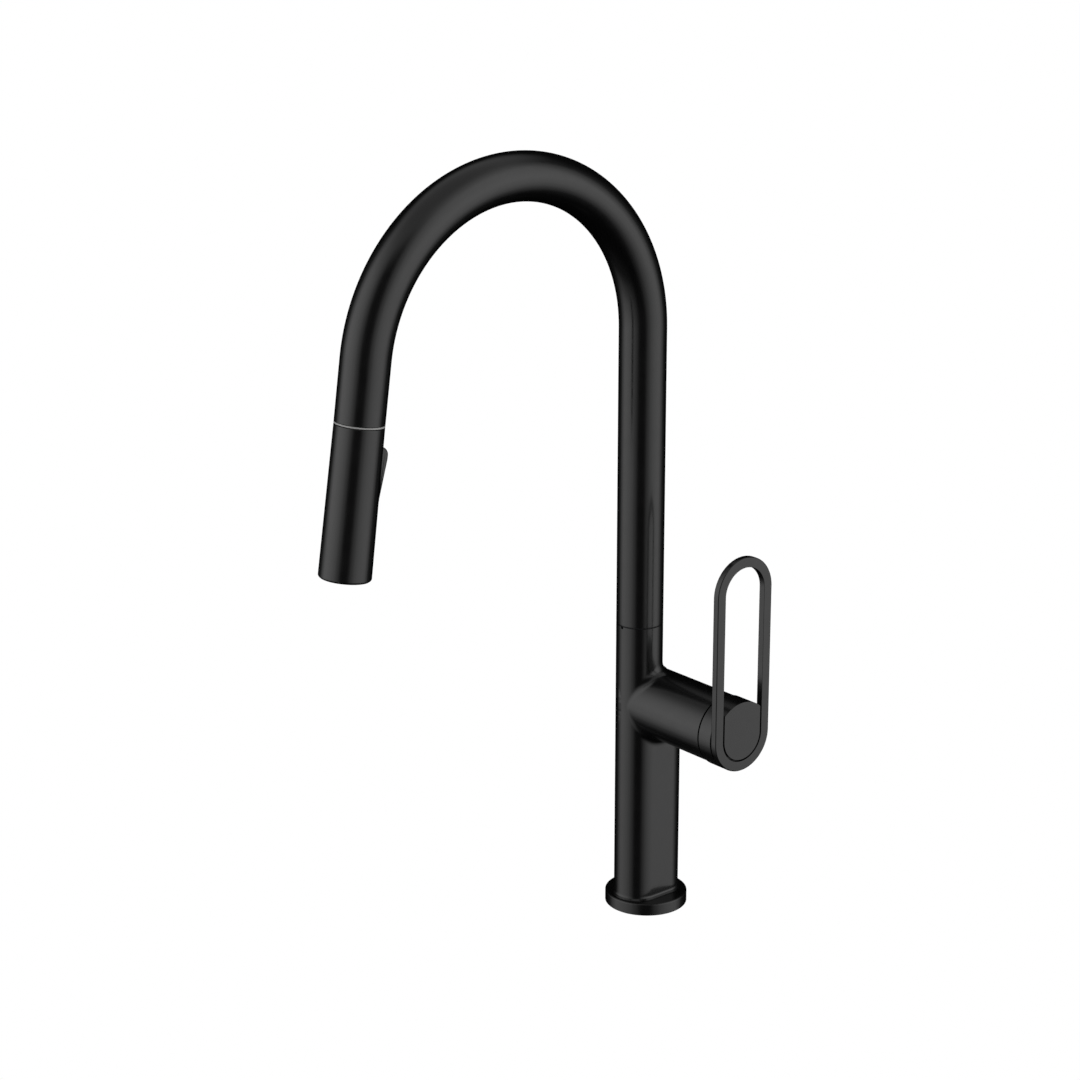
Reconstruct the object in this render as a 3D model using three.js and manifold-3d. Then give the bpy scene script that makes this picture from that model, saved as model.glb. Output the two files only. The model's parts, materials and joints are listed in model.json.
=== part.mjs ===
// A pull-down kitchen tap for one deck hole: a slot-shaped column with a side barrel for the mixing
// cartridge, a swivelling gooseneck, a loop handle, and a spray head on a hose that pulls out of the
// spout. Millimetres, +Z up, spout towards -Y, handle towards +X, origin on the deck at the base's centre.

import * as THREE from "three";
import { mergeVertices } from "three/addons/utils/BufferGeometryUtils.js";
import Module from "manifold-3d";

const wasm = await Module();
wasm.setup();

// ---- Driving dimensions -------------------------------------------------------------------------

const TUBE_R = 14; // gooseneck, and the column's round front
const COLUMN_Y = -7.5; // axis of the gooseneck and its swivel
const REAR_Y = 7.5; // axis of the column's round back
const TUBE_WALL = 1.5;
const BASE_R = 25;
const BASE_H = 7.5;
const VALVE_Z = 132.3; // height of the barrel's axis
const BARREL_R = 20.75;
const BARREL_END = 66;
const CROWN_RISE = 20.9; // height of the ellipse on which the column's back closes over the barrel
const SEAM_Z = 183; // swivel joint between column and gooseneck
const BEND_Z = 363.2; // height of the bend's centre
const BEND_R = 100.1;
const TIP_TILT = THREE.MathUtils.degToRad(8); // the tip leans out from the vertical
const TIP_STRAIGHT = 35.5; // from the end of the bend to the dock
const SPRAY_LENGTH = 85.7;
const SPRAY_TOP_R = 14;
const SPRAY_END_R = 14.8;
const HANDLE_R = 21.25;
const HANDLE_FACE = 82; // front face of hub and loop, along the barrel
const LOOP_THICK = 4.2;
const LOOP_INNER_R = 15.2;
const LOOP_RISE = 88.6; // between the loop's two arc centres
const HOSE_R = 6;
const PIVOT_X = 52; // pin on which the handle's stem tilts

const GAP = 0.3; // running or assembly gap between neighbours
const FINE = 32; // facets round a large piece
const MEDIUM = 18;
const SMALL = 8;

// ---- Materials ----------------------------------------------------------------------------------

const finish = (color, roughness, metalness) =>
  new THREE.MeshStandardMaterial({ color, roughness, metalness });
const BLACK = finish(0x161616, 0.42, 0.6);
const BRASS = finish(0xb08d4a, 0.35, 1);
const STEEL = finish(0xb9bcc0, 0.3, 1);
const RUBBER = finish(0x101010, 0.8, 0);
const GREY_NYLON = finish(0xb4b4b2, 0.5, 0);
const DARK_PLASTIC = finish(0x1c1c1e, 0.5, 0);
const WHITE_PLASTIC = finish(0xd8d8d4, 0.5, 0);
const CERAMIC = finish(0xe9e6df, 0.25, 0);
const MAGNET = finish(0x4a4c50, 0.35, 0.8);
const BRAID = finish(0x2a2a2c, 0.7, 0);

// ---- Solids -------------------------------------------------------------------------------------

function solid(geometry) {
  const bare = geometry.clone();
  bare.deleteAttribute("normal");
  bare.deleteAttribute("uv");
  const merged = mergeVertices(bare, 1e-4);
  return new wasm.Manifold(
    new wasm.Mesh({
      numProp: 3,
      vertProperties: merged.attributes.position.array,
      triVerts: new Uint32Array(merged.index.array),
    }),
  );
}

function geometryOf(manifold) {
  const mesh = manifold.getMesh();
  const geometry = new THREE.BufferGeometry();
  geometry.setAttribute("position", new THREE.BufferAttribute(mesh.vertProperties, 3));
  geometry.setIndex(new THREE.BufferAttribute(mesh.triVerts, 1));
  return geometry;
}

// A solid of revolution about Z, from a profile of [radius, z] that runs anticlockwise.
function turned(profile, facets = FINE) {
  const points = profile.map(([r, z]) => new THREE.Vector2(r, z));
  if (profile[0][0] > 0) points.push(points[0].clone());
  return solid(new THREE.LatheGeometry(points, facets).rotateX(Math.PI / 2));
}

const rod = (r, z0, z1, facets = FINE) => turned([[0, z0], [r, z0], [r, z1], [0, z1]], facets);
const ring = (inner, outer, z0, z1, facets = FINE) =>
  turned([[inner, z0], [outer, z0], [outer, z1], [inner, z1]], facets);

function torus(ringRadius, wireRadius, facets = MEDIUM) {
  const wire = 6;
  const profile = [];
  for (let i = 0; i < wire; i++) {
    const a = (i / wire) * 2 * Math.PI;
    profile.push([ringRadius + wireRadius * Math.cos(a), wireRadius * Math.sin(a)]);
  }
  return turned(profile, facets);
}

// A slot outline along the shape's Y: round ends of radius r about (0, low) and (0, high).
function slot(r, low, high) {
  const shape = new THREE.Shape();
  shape.absarc(0, high, r, 0, Math.PI, false);
  shape.absarc(0, low, r, Math.PI, 2 * Math.PI, false);
  return shape;
}

const extruded = (shape, z0, z1, curveSegments = FINE / 2) =>
  solid(new THREE.ExtrudeGeometry(shape, { depth: z1 - z0, bevelEnabled: false, curveSegments }))
    .translate([0, 0, z0]);

const block = (x0, x1, y0, y1, z0, z1) =>
  solid(new THREE.BoxGeometry(x1 - x0, y1 - y0, z1 - z0))
    .translate([(x0 + x1) / 2, (y0 + y1) / 2, (z0 + z1) / 2]);

// A round bar of radius r between two points.
function bar(from, to, r, facets = SMALL) {
  const start = new THREE.Vector3(...from);
  const way = new THREE.Vector3(...to).sub(start);
  const geometry = new THREE.CylinderGeometry(r, r, way.length(), facets);
  geometry.translate(0, way.length() / 2, 0);
  const turn = new THREE.Quaternion();
  turn.setFromUnitVectors(new THREE.Vector3(0, 1, 0), way.clone().normalize());
  return solid(geometry.applyQuaternion(turn).translate(...start));
}

// ---- The gooseneck's centreline -----------------------------------------------------------------

const BEND_SWEEP = Math.PI - TIP_TILT;
const BEND_STEPS = 26;
const ROUTE_STEPS = BEND_STEPS + 2;

// Straight up the column, round the bend, and out along the tip. One step each for the straights.
class Gooseneck extends THREE.Curve {
  constructor(startZ, tipLength) {
    super();
    this.startZ = startZ;
    this.tipLength = tipLength;
  }

  bendPoint(angle) {
    const y = COLUMN_Y - BEND_R * (1 - Math.cos(angle));
    return new THREE.Vector3(0, y, BEND_Z + BEND_R * Math.sin(angle));
  }

  angleAt(u) {
    const step = THREE.MathUtils.clamp(u * ROUTE_STEPS - 1, 0, BEND_STEPS);
    return (step / BEND_STEPS) * BEND_SWEEP;
  }

  getPointAt(u) {
    const point = this.bendPoint(this.angleAt(u));
    const before = Math.max(0, 1 - u * ROUTE_STEPS);
    const after = Math.max(0, u * ROUTE_STEPS - 1 - BEND_STEPS);
    point.z -= before * (BEND_Z - this.startZ);
    return point.addScaledVector(this.getTangentAt(u), after * this.tipLength);
  }

  getTangentAt(u) {
    const angle = this.angleAt(u);
    return new THREE.Vector3(0, -Math.sin(angle), Math.cos(angle));
  }
}

function alongNeck(shape, startZ, tipLength, sides) {
  const extrudePath = new Gooseneck(startZ, tipLength);
  const curveSegments = sides / 2;
  return solid(
    new THREE.ExtrudeGeometry(shape, { steps: ROUTE_STEPS, extrudePath, curveSegments }),
  );
}

// ---- Frames -------------------------------------------------------------------------------------

const tap = new THREE.Group();

// The swivel axis: Z up the middle of the gooseneck's straight part.
const swivel = new THREE.Group();
swivel.position.set(0, COLUMN_Y, 0);

// The barrel: Z runs out along it, Y is up, X runs to the back.
const valve = new THREE.Group();
valve.quaternion.set(0.5, 0.5, 0.5, 0.5);
valve.position.set(0, 0, VALVE_Z);

// The dock at the spout's tip: Z runs back up the tip, Y faces the column.
const dock = new THREE.Group();
const tipEnd = new Gooseneck(0, TIP_STRAIGHT).getPointAt(1);
dock.position.copy(tipEnd);
dock.rotation.x = -TIP_TILT;

tap.add(swivel, valve, dock);

function add(group, name, manifold, material) {
  const mesh = new THREE.Mesh(geometryOf(manifold), material);
  mesh.name = name;
  group.add(mesh);
}

// ---- Base ---------------------------------------------------------------------------------------

const FOOT_R = 12.8; // the column's foot, a slot that drops into the base
const FOOT_Z = 4.5;
const RECESS_R = 20.4;
const PORTS = { hot: [-6.6, 7], cold: [6.6, 7], mixed: [0, 14.8] };
const SOCKET_R = 4.2;
const SOCKET_TOP = 18;
const CHANNEL_R = 8.8; // the hose's way through the column
const FOOT_SCREWS = { left: [-9.4, -12.9], right: [9.4, -12.9], rear: [-7.7, 15.2] };

function makeBase() {
  const edge = 0.8;
  const disc = turned([
    [0, 0],
    [BASE_R - edge / 2, 0],
    [BASE_R, edge / 2],
    [BASE_R, BASE_H - edge],
    [BASE_R - edge, BASE_H],
    [0, BASE_H],
  ]);
  const recess = rod(RECESS_R, -1, FOOT_Z);
  const seat = extruded(slot(FOOT_R + GAP, COLUMN_Y, REAR_Y), 0, BASE_H + 1, MEDIUM / 2);
  const groove = ring(22.2, 23.9, -1, 1.8);
  add(tap, "base_flange", disc.subtract(recess).subtract(seat).subtract(groove), BLACK);
  add(tap, "deck_gasket", ring(22.5, 23.6, 0.1, 1.5), RUBBER);

  let plate = rod(RECESS_R - GAP, 0.6, FOOT_Z - GAP, FINE);
  plate = plate.subtract(rod(CHANNEL_R, 0, 9, MEDIUM).translate([0, COLUMN_Y, 0]));
  for (const [x, y] of Object.values(PORTS)) {
    plate = plate.subtract(rod(SOCKET_R + GAP, 0, 9, MEDIUM).translate([x, y, 0]));
  }
  for (const [place, [x, y]] of Object.entries(FOOT_SCREWS)) {
    plate = plate.subtract(rod(1.5, 0, 9, SMALL).translate([x, y, 0]));
    plate = plate.subtract(rod(2.6, 0, 2.2, SMALL).translate([x, y, 0]));
    const screw = turned([[0, 0.8], [2.4, 0.8], [2.4, 2], [1.2, 2], [1.2, 9], [0, 9]], SMALL);
    add(tap, `foot_screw_${place}`, screw.translate([x, y, 0]), STEEL);
  }
  add(tap, "foot_plate", plate, BRASS);
}

// ---- Column -------------------------------------------------------------------------------------

const COLUMN_TOP = SEAM_Z - GAP;
const CARTRIDGE_SEAT = 19.2; // the flat end of the barrel's bore
const BORE_R = 18.2;
const SPIGOT_R = 10.8; // the sleeve that the gooseneck turns on
const SPIGOT_BORE = 8.6;
const SPIGOT_LOW = 165;
const SPIGOT_TOP = 212;
const WEEP_Z = 181.8;

// Which way each waterway leaves the cartridge seat: [across, up] from the barrel's axis.
const SEAT_PORTS = { hot: [6, 6.5], cold: [6, -6.5], mixed: [0, 0] };
const WATERWAY_R = 2.8;

const alongBarrel = (manifold) =>
  manifold.transform([0, 1, 0, 0, 0, 0, 1, 0, 1, 0, 0, 0, 0, 0, VALVE_Z, 1]);

// A drain at the swivel joint, through the column's wall.
function weepHole() {
  return bar([0, COLUMN_Y - TUBE_R - 1, WEEP_Z], [0, COLUMN_Y - SPIGOT_R, WEEP_Z], 0.6);
}

// Above the barrel's axis the column's round back leans in, on an elliptical arc, until it closes on
// the round post at the barrel's top.
function makeCrown(plan) {
  const steps = 9;
  const arcR = TUBE_R + REAR_Y;
  const ledge = 0.05; // keeps the flat sides from closing to nothing at the top
  const arcEnd = Math.acos((TUBE_R + COLUMN_Y + ledge) / arcR);
  const options = { depth: 1, steps, bevelEnabled: false, curveSegments: FINE / 2 };
  const geometry = new THREE.ExtrudeGeometry(plan, options);
  const points = geometry.getAttribute("position");
  for (let i = 0; i < points.count; i++) {
    const angle = points.getZ(i) * arcEnd;
    points.setZ(i, VALVE_Z + CROWN_RISE * Math.sin(angle));
    if (points.getY(i) > 0) points.setY(i, points.getY(i) - arcR * (1 - Math.cos(angle)));
  }
  return solid(geometry);
}

function makeColumn() {
  const plan = slot(TUBE_R, COLUMN_Y, REAR_Y);
  const crown = makeCrown(plan);
  const post = extruded(slot(TUBE_R, COLUMN_Y, COLUMN_Y), BASE_H, COLUMN_TOP);
  const chamfer = 0.35;
  const barrel = alongBarrel(turned([
    [0, 0],
    [BARREL_R, 0],
    [BARREL_R, BARREL_END - chamfer],
    [BARREL_R - chamfer, BARREL_END],
    [0, BARREL_END],
  ]));
  let body = extruded(plan, BASE_H, VALVE_Z).add(crown).add(post).add(barrel);
  body = body.add(
    extruded(slot(FOOT_R, COLUMN_Y, REAR_Y), FOOT_Z, BASE_H + 1, MEDIUM / 2),
  );

  body = body.subtract(alongBarrel(rod(BORE_R, CARTRIDGE_SEAT, BARREL_END + 1)));
  body = body.subtract(rod(CHANNEL_R, 0, COLUMN_TOP + 1, MEDIUM).translate([0, COLUMN_Y, 0]));
  body = body.subtract(
    rod(SPIGOT_R + GAP, SPIGOT_LOW, COLUMN_TOP + 1, MEDIUM).translate([0, COLUMN_Y, 0]),
  );
  for (const [name, [x, y]] of Object.entries(PORTS)) {
    const [across, up] = SEAT_PORTS[name];
    const top = VALVE_Z + up;
    body = body.subtract(rod(SOCKET_R, 0, SOCKET_TOP, MEDIUM).translate([x, y, 0]));
    body = body.subtract(bar([x, y, SOCKET_TOP - 1], [x, y, top], WATERWAY_R));
    body = body.subtract(bar([x, y, top], [CARTRIDGE_SEAT + 1, across, top], WATERWAY_R));
  }
  for (const [x, y] of Object.values(FOOT_SCREWS)) {
    body = body.subtract(bar([x, y, 0], [x, y, 9.5], 1.35));
  }
  add(tap, "column_body", body.subtract(weepHole()), BLACK);
}

// ---- Swivel -------------------------------------------------------------------------------------

const GROOVES = { lower: 189, upper: 202 };
const CLIP_Z = 208.5;

function makeSwivel() {
  let sleeve = ring(SPIGOT_BORE, SPIGOT_R, SPIGOT_LOW + GAP, SPIGOT_TOP, MEDIUM);
  for (const [place, z] of Object.entries(GROOVES)) {
    sleeve = sleeve.subtract(ring(9.55, SPIGOT_R + 1, z - 0.9, z + 0.9, MEDIUM));
    add(swivel, `spigot_o_ring_${place}`, torus(10.25, 0.6).translate([0, 0, z]), RUBBER);
  }
  sleeve = sleeve.subtract(ring(9.7, SPIGOT_R + 1, CLIP_Z - 0.9, CLIP_Z + 0.9, MEDIUM));
  add(swivel, "swivel_spigot", sleeve, BRASS);

  const mouth = block(-4, 4, 0, 20, CLIP_Z - 2, CLIP_Z + 2);
  const clip = ring(9.95, 12, CLIP_Z - 0.6, CLIP_Z + 0.6, MEDIUM).subtract(mouth);
  add(swivel, "retaining_clip", clip, STEEL);
  add(swivel, "slip_washer", ring(SPIGOT_R + GAP, 13.3, COLUMN_TOP, SEAM_Z + GAP), DARK_PLASTIC);
  add(swivel, "swivel_bush", ring(11, 12.3, SEAM_Z + 1, 207), WHITE_PLASTIC);
}

// ---- Gooseneck, dock and hose -------------------------------------------------------------------

const TUBE_BORE = TUBE_R - TUBE_WALL;
const RING_THICK = 0.9; // the pale line round the dock

function makeSpout() {
  const section = new THREE.Shape().absarc(0, 0, TUBE_R, 0, 2 * Math.PI, false);
  section.holes.push(new THREE.Path().absarc(0, 0, TUBE_BORE, 0, 2 * Math.PI, true));
  const tube = alongNeck(section, SEAM_Z + GAP, TIP_STRAIGHT - RING_THICK - 0.1, 28);
  add(tap, "spout_tube", tube, BLACK);

  const collar = turned([
    [8.8, 0],
    [TUBE_R - 0.05, 0],
    [TUBE_R - 0.05, RING_THICK - 0.1],
    [TUBE_BORE - GAP, RING_THICK],
    [TUBE_BORE - GAP, 20],
    [8.8, 20],
  ]);
  add(dock, "dock_collar", collar, GREY_NYLON);
  add(dock, "dock_magnet", ring(9, 12, 20.3, 26.3, MEDIUM), MAGNET);
}

const HOSE_LOW = 12;
const HOSE_END = 8; // short of the dock's face
const FERRULE_TOP = 24;

function makeHose() {
  const round = new THREE.Shape().absarc(0, 0, HOSE_R, 0, 2 * Math.PI, false);
  add(tap, "pull_out_hose", alongNeck(round, HOSE_LOW, TIP_STRAIGHT - HOSE_END, 10), BRAID);
  const tail = turned([
    [0, 1],
    [5, 1],
    [5, 4],
    [7.6, 5],
    [7.6, 20],
    [HOSE_R + GAP, 20],
    [HOSE_R + GAP, HOSE_LOW - GAP],
    [0, HOSE_LOW - GAP],
  ], MEDIUM);
  add(swivel, "hose_tail_coupling", tail, BRASS);

  const ferrule = turned([
    [0, 3],
    [6.4, 3],
    [7.6, 5],
    [7.6, FERRULE_TOP - 2],
    [7.2, FERRULE_TOP],
    [HOSE_R + GAP, FERRULE_TOP],
    [HOSE_R + GAP, HOSE_END - GAP],
    [0, HOSE_END - GAP],
  ], MEDIUM);
  add(dock, "hose_ferrule", ferrule, STEEL);
  let nipple = turned([[0, -13.7], [4.6, -13.7], [4.6, -4.6], [6, -3.4], [6, 2.7], [0, 2.7]], MEDIUM);
  nipple = nipple.subtract(ring(3.9, 5, -11.6, -10, MEDIUM));
  add(dock, "swivel_nipple", nipple, BRASS);
  add(dock, "nipple_o_ring", torus(4.5, 0.55).translate([0, 0, -10.8]), RUBBER);
}

// ---- Spray head ---------------------------------------------------------------------------------

const SPRAY_TOP = -0.3;
const SHELL_WALL = 1.6;
const BUTTON = { top: -13.1, low: -43.4, half: 4.75, pivotZ: -25, pivotY: 10.9 };
const PLUNGER_Z = -36;

const shellRadius = (z) => SPRAY_TOP_R + ((SPRAY_END_R - SPRAY_TOP_R) * -z) / SPRAY_LENGTH;

function makeSprayShell() {
  const end = -SPRAY_LENGTH;
  const edge = 1;
  const cap = -3.2;
  let shell = turned([
    [7, cap],
    [SPRAY_TOP_R - SHELL_WALL, cap],
    [SPRAY_END_R - SHELL_WALL, end],
    [SPRAY_END_R - edge, end],
    [SPRAY_END_R, end + edge],
    [SPRAY_TOP_R, SPRAY_TOP],
    [7, SPRAY_TOP],
  ]);
  const side = BUTTON.half + GAP;
  const above = BUTTON.top + 0.55; // the button's head swings up a little as it goes in
  shell = shell.subtract(block(-side, side, 6, 20, BUTTON.low - GAP, above));
  const { pivotY, pivotZ } = BUTTON;
  shell = shell.subtract(bar([-6.6, pivotY, pivotZ], [6.6, pivotY, pivotZ], 0.95));
  add(dock, "spray_shell", shell, BLACK);
  add(dock, "button_pin", bar([-6.3, pivotY, pivotZ], [6.3, pivotY, pivotZ], 0.75), STEEL);
  add(dock, "catch_ring", ring(8, 11.8, -7.2, -3.5, MEDIUM), STEEL);
}

function makeSprayCore() {
  let core = rod(11.6, -66, -8, MEDIUM);
  core = core.subtract(rod(5.25, -14, -7, MEDIUM));
  core = core.subtract(rod(5.4, -28, -14, MEDIUM));
  core = core.subtract(rod(3.2, -67, -27, SMALL));
  core = core.subtract(ring(10.6, 12, -62, -60, MEDIUM));
  core = core.subtract(block(-7, 7, 8.2, 20, BUTTON.low - 3, BUTTON.top + 3));
  core = core.subtract(bar([0, 2, PLUNGER_Z], [0, 9, PLUNGER_Z], 2.5));
  add(dock, "spray_core", core, DARK_PLASTIC);
  add(dock, "core_o_ring", torus(11.5, 0.8).translate([0, 0, -61]), RUBBER);
  add(dock, "inlet_screen", rod(5.1, -15.4, -14.4, MEDIUM), STEEL);
  const valveBody = turned([[0, -26.8], [3, -26.8], [5.1, -24], [5.1, -16], [0, -16]], MEDIUM);
  add(dock, "check_valve", valveBody, WHITE_PLASTIC);
}

const NOZZLES = 16;

function makeSprayFace() {
  const faceZ = -SPRAY_LENGTH + 1.2;
  const seat = 7.2;
  let body = turned([
    [seat, faceZ + 1],
    [12.7, faceZ + 1],
    [12.7, -66.3],
    [0, -66.3],
    [0, -69],
    [seat, -69],
  ], MEDIUM);
  body = body.subtract(rod(2.6, -70, -66, SMALL));
  add(dock, "face_carrier", body, DARK_PLASTIC);

  let pad = ring(seat + GAP, 12.9, faceZ - 0.2, faceZ + 0.7, MEDIUM);
  for (let i = 0; i < NOZZLES; i++) {
    const a = (i / NOZZLES) * 2 * Math.PI;
    const tip = solid(new THREE.CylinderGeometry(0.9, 0.65, 1.4, 8).rotateX(Math.PI / 2));
    pad = pad.add(tip.translate([10.3 * Math.cos(a), 10.3 * Math.sin(a), faceZ - 0.4]));
  }
  add(dock, "nozzle_pad", pad, RUBBER);

  const aerator = turned([
    [0, faceZ + 0.4],
    [5.2, faceZ + 0.4],
    [5.4, faceZ - 0.3],
    [6.9, faceZ - 0.3],
    [6.9, -69.3],
    [0, -69.3],
  ], MEDIUM);
  add(dock, "aerator", aerator, DARK_PLASTIC);
}

function makeButton() {
  const { top, low, half, pivotY, pivotZ } = BUTTON;
  const inner = 9.4;
  const outline = new THREE.Shape(); // seen along X: first number is height z, second is reach y
  outline.moveTo(low, inner + 2);
  outline.lineTo(low, shellRadius(low) + 0.1);
  outline.quadraticCurveTo(low, shellRadius(low) + 0.6, low + 1, shellRadius(low) + 0.75);
  outline.lineTo(top - 5, 18.2);
  outline.quadraticCurveTo(top - 0.4, 18.6, top, shellRadius(top) + 0.5);
  outline.lineTo(top, inner + 1.6);
  outline.lineTo(top - 2, inner);
  outline.lineTo(low + 6, inner);
  const shapeToSide = [0, 0, 1, 0, 0, 1, 0, 0, -1, 0, 0, 0, 0, 0, 0, 1];
  let button = extruded(outline, -half, half, 6).transform(shapeToSide);
  button = button.subtract(bar([-9, pivotY, pivotZ], [9, pivotY, pivotZ], 1));
  add(dock, "rocker_button", button, BLACK);
  add(dock, "diverter_plunger", bar([0, 4.8, PLUNGER_Z], [0, 9.1, PLUNGER_Z], 2.2), BRASS);
}

// ---- Cartridge ----------------------------------------------------------------------------------

function makeCartridge() {
  const shell = turned([
    [12.6, 23],
    [17.5, 23],
    [17.5, PIVOT_X],
    [9.3, PIVOT_X],
    [9.3, 49.3],
    [12.6, 49.3],
  ]);
  add(valve, "cartridge_shell", shell, DARK_PLASTIC);
  let base = turned([[0, 20.3], [17.3, 20.3], [17.3, 22.7], [12.3, 22.7], [12.3, 29], [0, 29]]);
  let disc = rod(12, 29.3, 32.8);
  for (const [name, [across, up]] of Object.entries(SEAT_PORTS)) {
    base = base.subtract(rod(WATERWAY_R, 20, 30, SMALL).translate([across, up, 0]));
    disc = disc.subtract(rod(2.2, 29, 33, SMALL).translate([across, up, 0]));
    const seal = ring(WATERWAY_R + 0.2, 4.1, CARTRIDGE_SEAT + 0.1, 20.2, MEDIUM);
    add(valve, `seat_seal_${name}`, seal.translate([across, up, 0]), RUBBER);
  }
  add(valve, "cartridge_base", base, WHITE_PLASTIC);
  add(valve, "fixed_disc", disc, CERAMIC);

  const movingR = 8;
  add(valve, "moving_disc", rod(movingR, 33.1, 36.6, MEDIUM), CERAMIC);
  const pocket = block(-4.5, 4.5, -4.9, 4.9, 38.6, 45);
  add(valve, "disc_coupler", rod(movingR, 36.9, 43, MEDIUM).subtract(pocket), WHITE_PLASTIC);

  const rotorBody = turned([[0, 43.7], [12.3, 43.7], [12.3, 49], [9, 49], [9, 57], [0, 57]], MEDIUM);
  const way = block(-4.4, 4.4, -11, 6.5, 43, 58);
  const upperWay = block(-4.4, 4.4, 0, 11, 43, 49.6);
  const pinWay = bar([-15, 0, PIVOT_X], [15, 0, PIVOT_X], 1.7);
  const rotor = rotorBody.subtract(way).subtract(upperWay).subtract(pinWay);
  add(valve, "cartridge_rotor", rotor, WHITE_PLASTIC);
  add(valve, "pivot_pin", bar([-7.8, 0, PIVOT_X], [7.8, 0, PIVOT_X], 1.5), STEEL);

  add(valve, "cartridge_nut", ring(9.8, BORE_R - 0.15, PIVOT_X + GAP, 58), BRASS);
  const bonnet = turned([
    [12, 58.3],
    [BORE_R - 0.2, 58.3],
    [BORE_R - 0.2, 61.5],
    [15, 63.5],
    [12, 63.5],
  ]);
  add(valve, "bonnet_ring", bonnet, BLACK);
}

// ---- Handle -------------------------------------------------------------------------------------

const HUB_BACK = BARREL_END + 1;
const HUB_CEILING = 73.5;
const LOOP_BACK = HANDLE_FACE - LOOP_THICK;
const STEM_HALF = 4;
const SKIRT_R = 20.5;

function makeHandle() {
  let stem = block(-STEM_HALF, STEM_HALF, -STEM_HALF, STEM_HALF, 39.5, 78);
  stem = stem.subtract(bar([-15, 0, PIVOT_X], [15, 0, PIVOT_X], 1.8));
  add(valve, "cartridge_stem", stem, BRASS);

  const bossOutline = slot(LOOP_INNER_R - 2 * GAP, 0, 40);
  const boss = rod(HANDLE_R, LOOP_BACK - 1, HANDLE_FACE).intersect(
    extruded(bossOutline, LOOP_BACK - 1, HANDLE_FACE),
  );
  let hub = rod(HANDLE_R, HUB_BACK, LOOP_BACK - 0.1).add(boss);
  hub = hub.subtract(rod(SKIRT_R, HUB_BACK - 1, HUB_CEILING));
  hub = hub.add(rod(6.8, 69, HUB_CEILING + 1, MEDIUM));
  const socket = STEM_HALF + 0.2;
  hub = hub.subtract(block(-socket, socket, -socket, socket, 60, 78.3));
  const grubX = 75.5;
  hub = hub.subtract(bar([0, -23, grubX], [0, -3, grubX], 1.7));
  add(valve, "hub_grub_screw", bar([0, -11.7, grubX], [0, -4.7, grubX], 1.4), STEEL);

  const face = slot(HANDLE_R, 0, LOOP_RISE);
  face.holes.push(slot(LOOP_INNER_R, 0, LOOP_RISE));
  let loop = extruded(face, LOOP_BACK, HANDLE_FACE);
  const screws = { front: -Math.PI * 0.75, rear: -Math.PI * 0.25 };
  for (const [place, angle] of Object.entries(screws)) {
    const at = [18.2 * Math.cos(angle), 18.2 * Math.sin(angle), 0];
    const head = rod(2.2, HUB_CEILING - 1, HUB_CEILING + 1.8, SMALL);
    const shank = rod(1.4, HUB_CEILING - 1, HANDLE_FACE - 1, SMALL);
    hub = hub.subtract(head.translate(at)).subtract(shank.translate(at));
    loop = loop.subtract(shank.translate(at));
    const screw = turned([
      [0, HUB_CEILING + 0.2],
      [2, HUB_CEILING + 0.2],
      [2, HUB_CEILING + 1.6],
      [1.2, HUB_CEILING + 1.6],
      [1.2, HANDLE_FACE - 1.4],
      [0, HANDLE_FACE - 1.4],
    ], SMALL);
    add(valve, `loop_screw_${place}`, screw.translate(at), STEEL);
  }
  add(valve, "handle_hub", hub, BLACK);
  add(valve, "handle_loop", loop, BLACK);
}

makeBase();
makeColumn();
makeSwivel();
makeSpout();
makeHose();
makeSprayShell();
makeSprayCore();
makeSprayFace();
makeButton();
makeCartridge();
makeHandle();

export default tap;
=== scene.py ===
import json
import math

import bmesh
import bpy
import numpy as np
from mathutils import Matrix, Vector


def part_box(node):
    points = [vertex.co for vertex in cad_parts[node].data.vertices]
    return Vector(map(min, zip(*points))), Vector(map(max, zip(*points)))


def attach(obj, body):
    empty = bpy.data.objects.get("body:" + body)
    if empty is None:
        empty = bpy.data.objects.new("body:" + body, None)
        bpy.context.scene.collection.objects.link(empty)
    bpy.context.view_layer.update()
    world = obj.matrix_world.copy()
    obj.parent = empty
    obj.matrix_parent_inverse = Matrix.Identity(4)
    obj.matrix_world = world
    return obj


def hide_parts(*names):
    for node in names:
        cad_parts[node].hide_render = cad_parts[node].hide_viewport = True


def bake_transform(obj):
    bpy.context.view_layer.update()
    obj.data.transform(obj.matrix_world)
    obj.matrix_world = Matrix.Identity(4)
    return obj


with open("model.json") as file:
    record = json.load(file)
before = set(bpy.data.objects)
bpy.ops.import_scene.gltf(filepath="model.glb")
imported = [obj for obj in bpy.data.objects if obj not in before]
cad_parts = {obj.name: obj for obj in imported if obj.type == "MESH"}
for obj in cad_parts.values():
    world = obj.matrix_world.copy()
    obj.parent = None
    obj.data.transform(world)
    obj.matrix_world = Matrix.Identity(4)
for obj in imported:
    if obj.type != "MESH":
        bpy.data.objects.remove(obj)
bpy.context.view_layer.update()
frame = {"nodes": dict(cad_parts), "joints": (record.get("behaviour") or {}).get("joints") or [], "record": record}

# The looks of a satin-black pull-down kitchen tap. Shapes are worked out in millimetres in their own
# frames (column, valve, dock) and written into meshes in metres.

MM = 0.001
GAP = 0.3

# ---- Places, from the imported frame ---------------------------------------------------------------

JOINTS = {joint["name"]: joint for joint in frame["joints"]}


def corners(node):
    """A CAD node's lowest and highest corner in millimetres."""
    low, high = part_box(node)
    return low / MM, high / MM


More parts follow.
